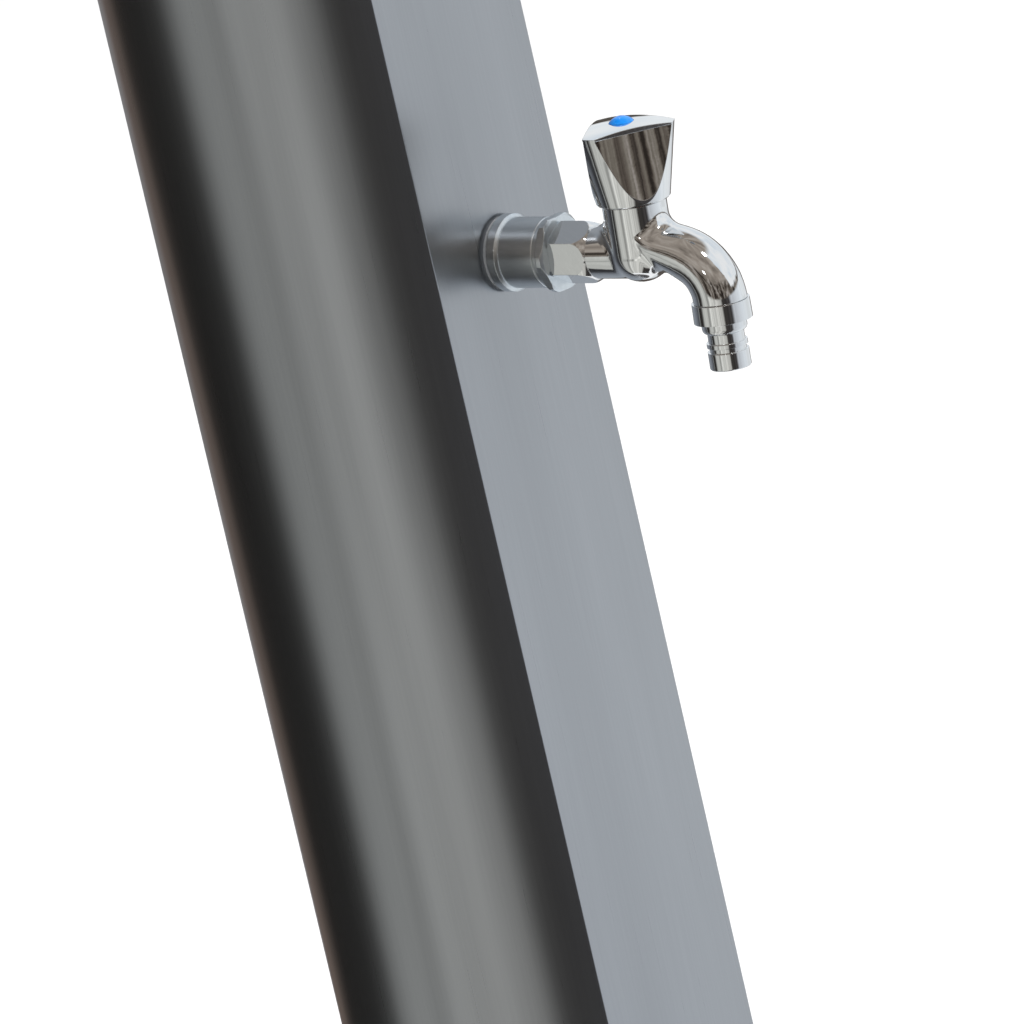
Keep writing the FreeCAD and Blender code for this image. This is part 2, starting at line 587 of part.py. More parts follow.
def risers():
    pipe("riser_lower", "riser_frame", f"inlet_height + {PIPE_STOP}", f"tap_height - {PIPE_STOP}")
    pipe("riser_middle", "riser_frame", f"tap_height + {PIPE_STOP}", f"valve_height - {PIPE_STOP}")
    pipe("riser_upper", "riser_frame", f"valve_height + {PIPE_STOP}", f"{ARM} - {PIPE_STOP}")
    socket = "thread_radius + thread_gap"
    tee("tap_tee", "tap_riser", "(riser_offset - post_wall)", socket, "thread_length")
    fitting("arm_elbow", "arm_riser", "(riser_offset - post_wall)", socket, "thread_length", "fitting_radius")


def pipe_clips():
    """Clips welded behind the flat face, each a band round the riser on a foot."""
    body = body_at("pipe_clips", "riser_frame")
    band, half = "(pipe_radius + clip_wall)", "(pipe_radius - 1)"
    joint = f"-sqrt({band}^2 - {half}^2)"
    foot = "-(riser_offset - post_wall)"
    upper = f"({ARM} - valve_height)"
    for height in ("(tap_height + valve_height) / 2", f"valve_height + {upper} / 3", f"valve_height + {upper} * 2 / 3"):
        sketch = draw(sketch_on(body, "XY", shift(0, 0, height)), [
            (f"-{half}", foot), (half, foot), (half, joint), (0, band, band), (f"-{half}", joint, band)])
        feature(body, "Pad", circle(sketch, "pipe_radius"), Length="clip_height")


# Socket and lock ring of the hose tap

def tap_socket():
    ring("socket_gasket", "tap_face", 0, "thread_radius + wall_gap", "seal_radius", "seal_thickness")
    spigot = "-(seal_thickness + post_wall + thread_length - free_gap)"
    mouth, groove = "sleeve_length", "(sleeve_length - sleeve_groove_place)"
    turned("tap_socket", "tap_face", "seal_thickness", [
        ("bore_radius", spigot), ("thread_radius", spigot), ("thread_radius", 0), ("flange_radius", 0),
        ("flange_radius", "flange_thickness - flange_bevel"), ("flange_radius - flange_bevel", "flange_thickness"),
        ("sleeve_radius", "flange_thickness"), ("sleeve_radius", groove),
        ("sleeve_radius - sleeve_groove", f"{groove} + sleeve_groove"), ("sleeve_radius", f"{groove} + 2 * sleeve_groove"),
        ("sleeve_radius", mouth), ("thread_radius + thread_gap", mouth),
        ("thread_radius + thread_gap", "sleeve_length - thread_length - free_gap"),
        ("bore_radius", "sleeve_length - thread_length - free_gap")])
    body = turned("lock_ring", "tap_axis", SOCKET_MOUTH, [
        ("thread_radius + thread_gap", 0), ("lock_radius - lock_thickness / 5", 0), ("lock_radius", "lock_thickness / 5"),
        ("lock_radius", "lock_thickness * 3 / 4"), ("lock_radius - lock_thickness / 3", "lock_thickness"),
        ("thread_radius + thread_gap", "lock_thickness")])
    sketch = hexagon(circle(sketch_on(body, "XY"), "2 * lock_radius"), "lock_flats")
    feature(body, "Pocket", sketch, Length="lock_thickness", Reversed=True)


# Hose tap

def chamber(body, top):
    """The valve chamber of a column that ends at top: seat, groove and the bore that feeds the seat from 0."""
    floor, seat = f"{top} - seat_depth - seat_groove", f"{top} - seat_depth"
    revolve(body, draw(sketch_on(body, "XZ"), [
        (0, 0), ("seat_bore", 0), ("seat_bore", seat), ("seat_bore + seat_lip", seat), ("seat_bore + seat_lip", floor),
        ("chamber_radius", floor), ("chamber_radius", top), (0, top)]), "Groove")


def spout_section(body, out, height, angle, radius):
    """A round section square to the spout's line, which there falls by angle."""
    place = f"placement(vector(0; {height}; {out}); rotation(vector(1;0;0); {angle}))"
    return circle(sketch_on(body, "XZ", place), radius)


def spout_sections(body, inset):
    """Sections along the spout's bend and down to its end, each inset from the outside."""
    sections = []
    for step in range(SPOUT_STEPS + 1):
        angle = f"(spout_slope + (90 - spout_slope) * {step / SPOUT_STEPS})"
        out = f"spout_reach - spout_bend + spout_bend * sin({angle})"
        height = f"{SPOUT_CENTRE} + spout_bend * cos({angle})"
        radius = f"spout_waist + (spout_mouth - spout_waist) * {(step / SPOUT_STEPS) ** 2} - {inset}"
        sections.append(spout_section(body, out, height, angle, radius))
    return sections


def tap_body():
    body = turned("tap_body", "tap_column", 0, [
        (0, "-column_foot"), ("column_radius", "column_radius - column_foot", "column_radius"),
        ("column_radius", "column_height"), (0, "column_height")])
    thread_end = f"({TAP_SHOULDER} + lock_thickness + thread_length)"
    revolve(body, draw(sketch_on(body, "YZ"), [
        (0, 0), (thread_end, 0), (thread_end, "thread_radius"), (TAP_SHOULDER, "thread_radius"),
        (TAP_SHOULDER, "neck_radius"), (0, "neck_radius")]), axis="H_Axis")
    nut = hexagon(sketch_on(body, "XZ", shift(0, 0, f"-{TAP_SHOULDER}")), "hex_flats", 90)
    feature(body, "Pad", nut, Length="hex_length")
    nose, outside = f"({TAP_SHOULDER} - hex_length)", "hex_flats"
    corner = "(hex_flats / sqrt(3))"
    nose_arc = "(hex_nose_length * 1.6)"
    revolve(body, draw(sketch_on(body, "YZ"), [
        (nose, "hex_nose_radius"), (f"{nose} + hex_nose_length", corner, f"-{nose_arc}"),
        (f"{nose} + hex_nose_length", outside), (nose, outside)]), "Groove", "H_Axis")
    revolve(body, draw(sketch_on(body, "YZ"), [
        (TAP_SHOULDER, f"{corner} - 1"), (TAP_SHOULDER, outside), (f"{TAP_SHOULDER} - 1", outside),
        (f"{TAP_SHOULDER} - 1", corner)]), "Groove", "H_Axis")
    root = spout_section(body, "column_radius / 4", "spout_rise - column_radius / 4 * tan(spout_slope)", "spout_slope",
                         "min(spout_root; column_radius * 0.95)")
    end = spout_section(body, "spout_reach", "-spout_drop", 90, "spout_mouth")
    feature(body, "AdditiveLoft", root, Sections=spout_sections(body, "0") + [end])
    reach = size("column_radius") + 1
    round_edges(body, "saddles", "saddle_radius", lambda box, length: 1 < abs(box.Center.y) and length > 0.01
                and -reach < box.YMin and box.YMax < reach and box.YMin * box.YMax > 0.01
                and box.ZMax < size("column_height") - 1)
    mouth = circle(sketch_on(body, "XY", shift(0, "-spout_reach", "-spout_drop")), "spout_thread")
    feature(body, "Pad", mouth, Length="spout_thread_length", Reversed=True)
    chamber(body, "column_height")
    start = spout_section(body, "outlet_start", "outlet_rise", "2 * spout_slope", "outlet_radius")
    foot = spout_section(body, "spout_reach", "-spout_drop - spout_thread_length", 90, "spout_mouth - spout_wall")
    feature(body, "SubtractiveLoft", start, Sections=spout_sections(body, "spout_wall") + [foot])
    feed = "seat_bore"
    revolve(body, draw(sketch_on(body, "YZ"), [
        (f"-{feed}", 0), (thread_end, 0), (thread_end, "bore_radius"), (f"-{feed}", "bore_radius")]), "Groove", "H_Axis")


# Hose connection under the tap's spout

def hose_connection():
    lip, thread = "(nut_lip - nut_height)", "(thread_gap + spout_thread)"
    flange_top = f"({lip} + nipple_flange_thickness)"
    turned("outlet_nut", "tap_outlet", 0, [
        ("nipple_shoulder + thread_gap", "-nut_height"), ("nut_foot_radius", "-nut_height"),
        ("nut_radius", "-axial_gap"), (thread, "-axial_gap"), (thread, lip), ("nipple_shoulder + thread_gap", lip)])
    ring("nipple_washer", "tap_outlet", flange_top, "nipple_bore", "nipple_flange",
         f"-spout_thread_length - {flange_top}")
    foot = "(-nut_height - nipple_length)"
    shoulder = "(-nut_height - nipple_shoulder_length)"
    ring_top = "(-nut_height - nipple_neck_length)"
    ring_foot = f"({ring_top} - nipple_ring_width)"
    turned("hose_nipple", "tap_outlet", 0, [
        ("nipple_bore", foot), ("nipple_tip - 0.4", foot), ("nipple_tip", f"{foot} + 0.4"),
        ("nipple_tip", f"{foot} + nipple_tip_length"), ("nipple_neck", f"{foot} + nipple_tip_length"),
        ("nipple_neck", ring_foot), ("nipple_ring", ring_foot), ("nipple_ring", ring_top), ("nipple_neck", ring_top),
        ("nipple_neck", f"{shoulder} - nipple_round"), ("nipple_shoulder", shoulder, "nipple_round"),
        ("nipple_shoulder", lip), ("nipple_flange", lip), ("nipple_flange", flange_top), ("nipple_bore", flange_top)])


# Headwork: bonnet, rising disc and triangular handle, alike on the hose tap and the stop valve

def key_bar(body, foot, half, half_width):
    return draw(sketch_on(body, "XY", shift(0, 0, foot)), [
        (f"-({half})", f"-({half_width})"), (half, f"-({half_width})"), (half, half_width),
        (f"-({half})", half_width)])


def bonnet(prefix, place):
    ring(prefix + "_bonnet_gasket", place, 0, "chamber_radius", "bonnet_flange_radius", "bonnet_gasket")
    flange_top = "(bonnet_gasket + bonnet_flange)"
    body = turned(prefix + "_bonnet", place, 0, [
        (0, "-bonnet_skirt"), ("chamber_radius - running_gap", "-bonnet_skirt"),
        ("chamber_radius - running_gap", "bonnet_gasket"), ("bonnet_flange_radius", "bonnet_gasket"),
        ("bonnet_flange_radius", flange_top), (0, flange_top)])
    nut = hexagon(sketch_on(body, "XY", shift(0, 0, flange_top)), "bonnet_flats")
    feature(body, "Pad", nut, Length=f"{BONNET_TOP} - {flange_top}")
    revolve(body, draw(sketch_on(body, "XZ"), [
        (0, "-bonnet_skirt"), ("carrier_radius + running_gap", "-bonnet_skirt"),
        ("carrier_radius + running_gap", GUIDE_FOOT), ("spindle_radius + running_gap", GUIDE_FOOT),
        ("spindle_radius + running_gap", BONNET_TOP), (0, BONNET_TOP)]), "Groove")
    slot = key_bar(body, "-bonnet_skirt", "key_radius + thread_gap", "key_width / 2 + thread_gap")
    feature(body, "Pocket", slot, Reversed=True,
            Length=f"bonnet_skirt + {CARRIER_FOOT} + key_height + lift + free_gap")


def spindle(prefix, place):
    groove, wire = f"({GUIDE_FOOT} + guide_length / 2)", "(ring_wire + running_gap)"
    end = f"({HUB} + spline_length)"
    hole = f"({end} - handle_screw_length + handle_roof - free_gap)"
    turned(prefix + "_spindle", place, 0, [
        (0, SPINDLE_FOOT), ("spindle_thread", SPINDLE_FOOT), ("spindle_thread", COLLAR_FOOT),
        ("spindle_collar", COLLAR_FOOT), ("spindle_collar", f"{GUIDE_FOOT} - axial_gap"),
        ("spindle_radius", f"{GUIDE_FOOT} - axial_gap"), ("spindle_radius", f"{groove} - {wire}"),
        ("spindle_radius - 2 * ring_wire", f"{groove} - {wire}"),
        ("spindle_radius - 2 * ring_wire", f"{groove} + {wire}"), ("spindle_radius", f"{groove} + {wire}"),
        ("spindle_radius", HUB), ("spindle_spline", HUB), ("spindle_spline", end), ("handle_screw_radius", end),
        ("handle_screw_radius", hole), (0, hole)])
    body = body_at(prefix + "_spindle_ring", place)
    revolve(body, circle(sketch_on(body, "XZ"), "ring_wire", "spindle_radius - ring_wire", groove))


def disc(prefix, place):
    thread = "spindle_thread + thread_gap"
    body = turned(prefix + "_carrier", place, CARRIER_FOOT, [
        ("disc_screw_radius", 0), ("carrier_radius", 0), ("carrier_radius", "carrier_length"),
        (thread, "carrier_length"), (thread, "carrier_floor"), ("disc_screw_radius", "carrier_floor")])
    feature(body, "Pad", key_bar(body, 0, "key_radius", "key_width / 2"), Length="key_height")
    revolve(body, draw(sketch_on(body, "XZ"), [
        (0, 0), ("disc_screw_radius", 0), ("disc_screw_radius", "carrier_floor"), (thread, "carrier_floor"),
        (thread, "key_height + 1"), (0, "key_height + 1")]), "Groove")
    ring(prefix + "_disc", place, DISC_FOOT, "disc_screw_radius", "disc_radius", "disc_thickness")
    turned(prefix + "_disc_screw", place, DISC_FOOT, [
        (0, "-disc_screw_head_height"), ("disc_screw_head", "-disc_screw_head_height"), ("disc_screw_head", 0),
        ("disc_screw_radius", 0), ("disc_screw_radius", "disc_thickness + carrier_floor"),
        (0, "disc_thickness + carrier_floor")])


def handle(prefix, place):
    """A tapered knob with three sides cut flat and hollowed: one corner points along its own X axis."""
    body = body_at(prefix + "_handle", place, "handle_gap", prefix + "_handle_angle")
    crown = "((handle_corner_radius^2 + handle_crown^2) / (2 * handle_crown))"
    revolve(body, draw(sketch_on(body, "XZ"), [
        (0, 0), ("handle_foot_radius - 0.6", 0), ("handle_foot_radius", "0.6"),
        ("handle_corner_radius", "handle_height"), (0, HANDLE_TOP, crown)]))
    taper = "((handle_corner_radius - handle_foot_radius) / handle_height)"
    start = f"(handle_foot_radius + {taper} * scoop_start)"
    lean = f"(({start} - handle_side) / (handle_height - scoop_start))"
    clear = "(2 * handle_corner_radius)"
    sketch = draw(sketch_on(body, "XZ"), [
        (f"-{start} - {lean} * scoop_start", 0), (f"-handle_side + {lean} * handle_crown * 2",
        "handle_height + handle_crown * 2"), (f"-{clear}", "handle_height + handle_crown * 2"), (f"-{clear}", 0)])
    flat = feature(body, "Pocket", sketch, Length=clear, Midplane=True)
    repeat(body, [flat], "handle_sides", (sketch, ["V_Axis"]))
    rim = "(scoop_start + scoop_rim)"
    fall = f"atan(({start} - {lean} * scoop_rim - handle_side + scoop_depth) / (handle_height - {rim}))"
    top = (f"placement(vector(-(handle_side - scoop_depth); 0; handle_height); rotation(vector(0;1;0); {fall})) * "
           + shift(0, 0, "-scoop_lid"))
    sketch = circle(sketch_on(body, "XY", top), "scoop_radius", "-scoop_radius")
    scoop = feature(body, "Pocket", sketch, Length="2 * handle_height")
    repeat(body, [scoop], "handle_sides", (sketch_on(body, "XY"), ["N_Axis"]))
    roof, well, recess = f"({HANDLE_ROOF} + handle_roof)", "index_plug + thread_gap", f"({HANDLE_TOP} - index_depth)"
    revolve(body, draw(sketch_on(body, "XZ"), [
        (0, 0), ("handle_recess", 0), ("handle_recess", HANDLE_HUB), ("spindle_spline", HANDLE_HUB),
        ("spindle_spline", HANDLE_ROOF), ("handle_screw_radius", HANDLE_ROOF), ("handle_screw_radius", roof),
        (well, roof), (well, recess), ("index_radius + running_gap", recess),
        ("index_radius + running_gap", HANDLE_TOP), (0, HANDLE_TOP)]), "Groove")
    turned(prefix + "_handle_screw", place, f"handle_gap + {roof}", [
        (0, "-handle_screw_length"), ("handle_screw_radius", "-handle_screw_length"), ("handle_screw_radius", 0),
        ("handle_screw_head", 0), ("handle_screw_head", "handle_screw_head_height"), (0, "handle_screw_head_height")])
    swell = "((index_radius^2 + index_crown^2) / (2 * index_crown))"
    turned(prefix + "_index", place, f"handle_gap + {recess}", [
        (0, "-index_plug_length"), ("index_plug", "-index_plug_length"), ("index_plug", 0), ("index_radius", 0),
        ("index_radius", "index_depth"), (0, "index_depth + index_crown", swell)])


def headwork(prefix):
    place = prefix + "_headwork"
    bonnet(prefix, place)
    spindle(prefix, place)
    disc(prefix, place)
    handle(prefix, place)


# Stop valve of the shower

def stop_valve():
    """The valve's column leaves the riser through the face. Water rises under the seat and leaves the chamber by a
    side passage to the upper arm."""
    top, wall = "(riser_offset + valve_stand)", "(riser_offset - post_wall)"
    body = turned("valve_body", "valve_riser", 0, [
        (0, 0), ("branch_radius", 0), ("branch_radius", wall), ("valve_neck", wall), ("valve_neck", top), (0, top)])
    across(body, "fitting_arm", "fitting_radius", "2 * fitting_arm", "Pad")
    chamber(body, top)
    across(body, "-fitting_arm", "pipe_radius", "socket_depth", "Pocket")
    across(body, "-fitting_arm", "bore_radius", "fitting_arm", "Pocket")
    across(body, "fitting_arm", "pipe_radius", "socket_depth", "Pocket", Reversed=True)
    passage = "(chamber_radius - free_gap)"
    across(body, "fitting_arm", "bore_radius", f"fitting_arm - {passage} + side_bore", "Pocket", Reversed=True)
    side = circle(sketch_on(body, "XY"), "side_bore", 0, passage)
    feature(body, "Pocket", side, Length=f"{top} - seat_depth - seat_groove / 2", Reversed=True)
    body = turned("valve_rosette", "valve_face", 0, [
        ("valve_neck + thread_gap", 0), ("rosette_radius", 0), ("rosette_radius", "rosette_thickness / 2"),
        ("rosette_radius - rosette_thickness / 2", "rosette_thickness", "rosette_thickness / 2"),
        ("valve_neck + thread_gap", "rosette_thickness")])
    body = body_at("valve_nut", "valve_face", "rosette_thickness")
    sketch = circle(hexagon(sketch_on(body, "XY"), "valve_nut_flats"), "valve_neck + thread_gap")
    feature(body, "Pad", sketch, Length="valve_nut_thickness")


# Arm of the rain head

def arm():
    turned("arm_rosette", "arm_face", 0, [
        ("thread_radius + thread_gap", 0), ("rosette_radius", 0), ("rosette_radius", "rosette_thickness / 2"),
        ("rosette_radius - rosette_thickness / 2", "rosette_thickness", "rosette_thickness / 2"),
        ("thread_radius + thread_gap", "rosette_thickness")])
    spigot, mouth = "-(rosette_thickness + post_wall + thread_length - free_gap)", "arm_socket_length"
    turned("arm_socket", "arm_face", "rosette_thickness", [
        ("bore_radius", spigot), ("thread_radius", spigot), ("thread_radius", 0), ("arm_socket_radius", 0),
        ("arm_socket_radius", f"{mouth} - 1"), ("arm_socket_radius - 1", mouth), ("arm_radius", mouth),
        ("arm_radius", f"{mouth} - arm_insert"), ("bore_radius", f"{mouth} - arm_insert")])
    body = body_at("shower_arm", "arm_face", 0, -90)
    start = "(rosette_thickness + arm_socket_length - arm_insert)"
    straight = tube_section(body, "XY", shift(0, 0, start), 0, 0)
    feature(body, "Pad", straight, Length=f"arm_reach - arm_bend - {start}")
    bend = tube_section(body, "XY", shift(0, 0, "arm_reach - arm_bend"), 0, 0)
    own_axis(bend, "arm_bend")
    revolve(body, bend, axis="Axis0", Angle=90.0)
    tail = tube_section(body, "YZ", shift(0, 0, "arm_bend"), 0, "arm_reach")
    feature(body, "Pad", tail, Length="arm_tail")


def tube_section(body, plane, offset, x, y):
    return circle(circle(sketch_on(body, plane, offset), "arm_radius", x, y), "arm_radius - arm_wall", x, y)


# Ball joint under the arm

def ball_joint():
    seat = "(stem_rise + stem_seat)"
    turned("ball_stem", "ball_frame", 0, [
        ("stem_bore", "-sqrt(ball_radius^2 - stem_bore^2)"),
        ("stem_neck", "sqrt(ball_radius^2 - stem_neck^2)", "ball_radius"), ("stem_neck", "stem_rise"),
        ("cap_nut_thread - 1", "stem_rise"), ("cap_nut_thread", "stem_rise + 1"),
        ("cap_nut_thread", f"{seat} + arm_insert"), ("arm_radius", f"{seat} + arm_insert"), ("arm_radius", seat),
        ("stem_bore", seat)])
    ball_ring("ball_washer", "ball_radius + ball_gap")
    ball_ring("ball_seal", "ball_radius + 2 * ball_gap + ball_ring")
    lip, flare = f"sqrt({LIP}^2 - cap_nut_lip^2)", "(stem_neck + stem_bore * 2)"
    turned("cap_nut", "ball_frame", 0, [
        ("cap_nut_thread + thread_gap", "-cap_nut_depth"), ("cap_nut_radius", "-cap_nut_depth"),
        ("cap_nut_radius", "cap_nut_rise / 2"), ("cap_nut_radius - cap_nut_rise * 0.45", "cap_nut_rise"),
        (flare, "cap_nut_rise"), (lip, "cap_nut_lip"), (LIP, 0, f"-{LIP}"), ("cap_nut_thread + thread_gap", 0)])


def ball_ring(label, inner):
    """A ring between two spheres about the ball's centre."""
    outer = f"({inner} + ball_ring)"
    turned(label, "ball_frame", 0, [
        (f"{outer} * sin(ring_low)", f"-{outer} * cos(ring_low)"),
        (f"{outer} * sin(ring_high)", f"-{outer} * cos(ring_high)", outer),
        (f"({inner}) * sin(ring_high)", f"-({inner}) * cos(ring_high)"),
        (f"({inner}) * sin(ring_low)", f"-({inner}) * cos(ring_low)", f"-({inner})")])


# Rain head

def rain_head():
    ceiling, rim = f"(plate_thickness + mat_thickness - {HEAD_FOOT})", "(head_radius - head_rim)"
    shoulder = "(head_top + head_slope)"
    body = turned("head_shell", "ball_frame", 0, [
        ("bore_radius", "-head_top - head_wall"), (rim, f"-{shoulder} - head_wall"), (rim, ceiling),
        ("head_radius - plate_edge", ceiling), ("head_radius - plate_edge", f"-{HEAD_FOOT}"),
        ("head_radius - head_edge", f"-{HEAD_FOOT}"), ("head_radius", f"-{HEAD_FOOT} + head_edge"),
        ("head_radius", f"-{shoulder} - 2 * head_edge"), ("head_radius - 2 * head_edge", f"-{shoulder}"),
        ("cap_nut_thread", "-head_top"), ("cap_nut_thread", "-axial_gap"), (CAVITY, "-axial_gap"),
        ("bore_radius", f"-sqrt({CAVITY}^2 - bore_radius^2)", f"-{CAVITY}")])
    plain_holes(body, "plate_screw_radius", PLATE_SCREWS, "plate_screw_count", ceiling, "head_wall * 4")
    body = turned("nozzle_mat", "head_underside", "-plate_thickness - mat_thickness", [
        (0, 0), (PLATE, 0), (PLATE, "mat_thickness"), (0, "mat_thickness")])
    tip = "(mat_thickness + plate_thickness + nozzle_stand)"
    nozzles(body, "Revolution", [("nozzle_radius", "mat_thickness / 2"), ("nozzle_radius", "mat_thickness + plate_thickness"),
                                 ("nozzle_tip", tip)])
    nozzles(body, "Groove", [("nozzle_bore", 0), ("nozzle_bore", tip)])
    plain_holes(body, "plate_screw_radius", PLATE_SCREWS, "plate_screw_count", 0, "mat_thickness")
    body = turned("spray_plate", "head_underside", "-plate_thickness", [
        (0, 0), (PLATE, 0), (PLATE, "plate_thickness - 0.6"), (f"{PLATE} - 0.6", "plate_thickness"),
        (0, "plate_thickness")])
    hole = "nozzle_radius + running_gap"
    nozzles(body, "Groove", [(hole, 0), (hole, "plate_thickness")])
    screw_holes(body, PLATE_SCREWS, "plate_screw_count", "plate_screw_radius", "plate_screw_head", "plate_thickness",
                "plate_thickness")
    screw_ring("plate_screws", "head_underside", PLATE_SCREWS, "plate_screw_count", "plate_screw_radius",
               "plate_screw_head", "(plate_thickness + mat_thickness + head_wall * 3)")


def nozzles(body, kind, profile):
    """Adds or cuts the half profile (distance from the nozzle's axis, height) at every nozzle."""
    for number in range(1, whole("nozzle_rings") + 1):
        place = f"nozzle_pitch * {number}"
        sketch = sketch_on(body, "XZ")
        draw(sketch, [(place, profile[0][1])] + [(f"{place} + {r}", z) for r, z in profile] + [(place, profile[-1][1])])
        own_axis(sketch, place)
        made = revolve(body, sketch, kind, "Axis0")
        repeat(body, [made], f"nozzle_step * {number}", (sketch, ["V_Axis"]))


base_plate()
post_shell()
lid()
inlet()
risers()
pipe_clips()
tap_socket()
tap_body()
hose_connection()
headwork("tap")
stop_valve()
headwork("valve")
arm()
ball_joint()
rain_head()

doc.recompute()
problems = [f"{o.Name}: {o.State}" for o in doc.Objects if "Invalid" in o.State or "Error" in o.State]
problems += [label for label, body in pieces.items() if body.Shape.isNull() or not body.Shape.isValid()]
if problems:
    raise SystemExit("failed: " + ", ".join(problems))

os.makedirs("parts", exist_ok=True)
for label, body in pieces.items():
    body.Shape.exportStep(f"parts/{label}.step")
    print(label, len(body.Shape.Solids), round(body.Shape.Volume, 1))
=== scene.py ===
"""Looks, light and camera of the outdoor shower post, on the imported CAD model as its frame. Metres."""
import json
import math

import bpy
from mathutils import Matrix, Vector


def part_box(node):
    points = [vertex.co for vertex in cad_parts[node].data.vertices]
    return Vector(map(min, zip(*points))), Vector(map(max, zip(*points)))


# The photograph's camera, fitted to the hose tap
IMAGE_SIDE = 1024
CAMERA_AZIMUTH = math.radians(52.6)
CAMERA_ELEVATION = math.radians(18.3)
CAMERA_ROLL = math.radians(13.0)
CAMERA_DISTANCE = 5.5
CAMERA_REACH = 100
FOCAL_PIXELS = 12600
TAP_ON_FACE_PIXEL = (504.6, 252.4)
SENSOR_MM = 36.0

# Square lamps round the tap. Azimuths are in degrees from the camera towards its right. The mirrored ones light nothing
LAMPS = {
    "key": {"azimuth": 70, "elevation": 50, "distance": 3.0, "side": 1.2, "watts": 60},
    "window": {"azimuth": 30, "elevation": 58, "distance": 2.6, "side": 0.34, "watts": 3.0, "mirrored": True},
    "window_low": {"azimuth": -25, "elevation": 22, "distance": 2.6, "side": 0.14, "watts": 0.5, "mirrored": True},
    "window_behind": {"azimuth": 178, "elevation": 56, "distance": 2.6, "side": 0.3, "watts": 1.3, "mirrored": True},
}

FLOOR_HALF = 30.0
FLOOR_TONE = (0.9, 0.9, 0.9, 1)
FLOOR_ROUGHNESS = 0.9

# The dome that only mirror rays meet: ground, trees and a sky, as (radius, height) from the ground's middle up
WALL_RADIUS = 3.0
GROUND_HEIGHT = 0.004
HORIZON = 0.45
DOME_HEIGHT = 4.1
DOME_PROFILE = [
    (0.2, GROUND_HEIGHT), (WALL_RADIUS * 0.85, GROUND_HEIGHT), (WALL_RADIUS, HORIZON), (WALL_RADIUS, 1.6),
    (WALL_RADIUS * 0.9, 2.9), (WALL_RADIUS * 0.6, 3.7), (WALL_RADIUS * 0.01, DOME_HEIGHT)]
DOME_STEPS = 96

# Tones of the ground by direction, in degrees from the camera towards its right
GROUND = [
    (-180, (0.10, 0.09, 0.08)), (-160, (0.42, 0.43, 0.44)), (-152, (0.27, 0.20, 0.17)), (-138, (0.22, 0.17, 0.14)),
    (-132, (0.026, 0.024, 0.022)), (-87, (0.034, 0.032, 0.030)), (-72, (0.62, 0.62, 0.58)), (-30, (0.76, 0.75, 0.70)),
    (0, (0.66, 0.645, 0.60)), (7, (0.055, 0.05, 0.045)), (34, (0.06, 0.055, 0.055)), (46, (0.60, 0.62, 0.65)),
    (80, (0.86, 0.90, 0.94)), (114, (0.96, 0.99, 1.0)), (138, (0.84, 0.86, 0.88)), (152, (0.12, 0.10, 0.09)),
    (180, (0.10, 0.09, 0.08))]
# Share of unevenness that the ground gets, by direction
UNEVEN = [(-180, 0.4), (-90, 0.5), (-78, 1.0), (36, 1.0), (52, 0.15), (180, 0.15)]
# The ring of ground that the tap mirrors is uneven in coarse streaks: where its two edges begin and end
RING_INNER = (1.15, 1.30)
RING_OUTER = (1.85, 1.70)
# Height of the trees by direction, as a share of the dome's height. Between the two shares of the ceiling their
# canopies close over the sky again
SKYLINE = [
    (-180, 0.13), (-150, 0.13), (-125, 0.20), (-105, 0.40), (-85, 1.0), (28, 1.0), (42, 0.6), (58, 0.18), (120, 0.14),
    (180, 0.13)]
SKYLINE_SHARES = (0.7, 1.3)
SKYLINE_EDGE = (-0.01, 0.03)
CEILING = (0.90, 0.80)
# Tones by noise of the trees, of their canopies and of the sky
TREES = [
    (0.0, (0.012, 0.010, 0.009)), (0.40, (0.03, 0.024, 0.02)), (0.47, (0.11, 0.09, 0.075)),
    (0.54, (0.20, 0.175, 0.145)), (0.60, (0.36, 0.32, 0.29)), (0.68, (0.50, 0.45, 0.42)), (1.0, (0.70, 0.66, 0.63))]
CANOPY = [(0.30, (0.20, 0.17, 0.145)), (0.5, (0.36, 0.31, 0.265)), (0.7, (0.50, 0.45, 0.40))]
SKY = [(0.36, (0.80, 0.86, 0.92)), (0.5, (0.93, 0.96, 0.98)), (0.6, (1.0, 1.0, 1.0))]
SKY_SCALE = 0.9
SKY_DETAIL = 4.0
TREES_FROM = (HORIZON - 0.06, HORIZON + 0.06)
CANOPY_FROM = (1.1, 1.6)
# Streaks: waves once round the post, waves a metre upwards, detail
FINE_STREAKS = (30, 0.4, 3)
COARSE_STREAKS = (13, 0.2, 3)
TREE_STREAKS = (40, 2.4, 6)
CANOPY_STREAKS = (14, 1.1, 4)
SKYLINE_STREAKS = (24, 0.0, 4)
# Range of a streak's noise that is used, and the brightness it gives
FINE_RANGE, FINE_BRIGHTNESS = (0.36, 0.64), (0.5, 1.3)
COARSE_RANGE, COARSE_BRIGHTNESS = (0.40, 0.60), (0.12, 1.35)

# Share of a noise between a material's dark and light tone
TINT_FROM, TINT_TO = 0.3, 0.7
# Wide soft patches on a metal: the stretch of their noise and their brightness
PATCH_STRETCH = (1, 1, 0.14)
PATCH_BRIGHTNESS = (0.93, 1.05)
STREAK_DETAIL, GRAIN_DETAIL, PATCH_DETAIL = 4.0, 3.0, 2.0
EDGE_RADIUS = 0.0004
EDGE_SAMPLES = 6

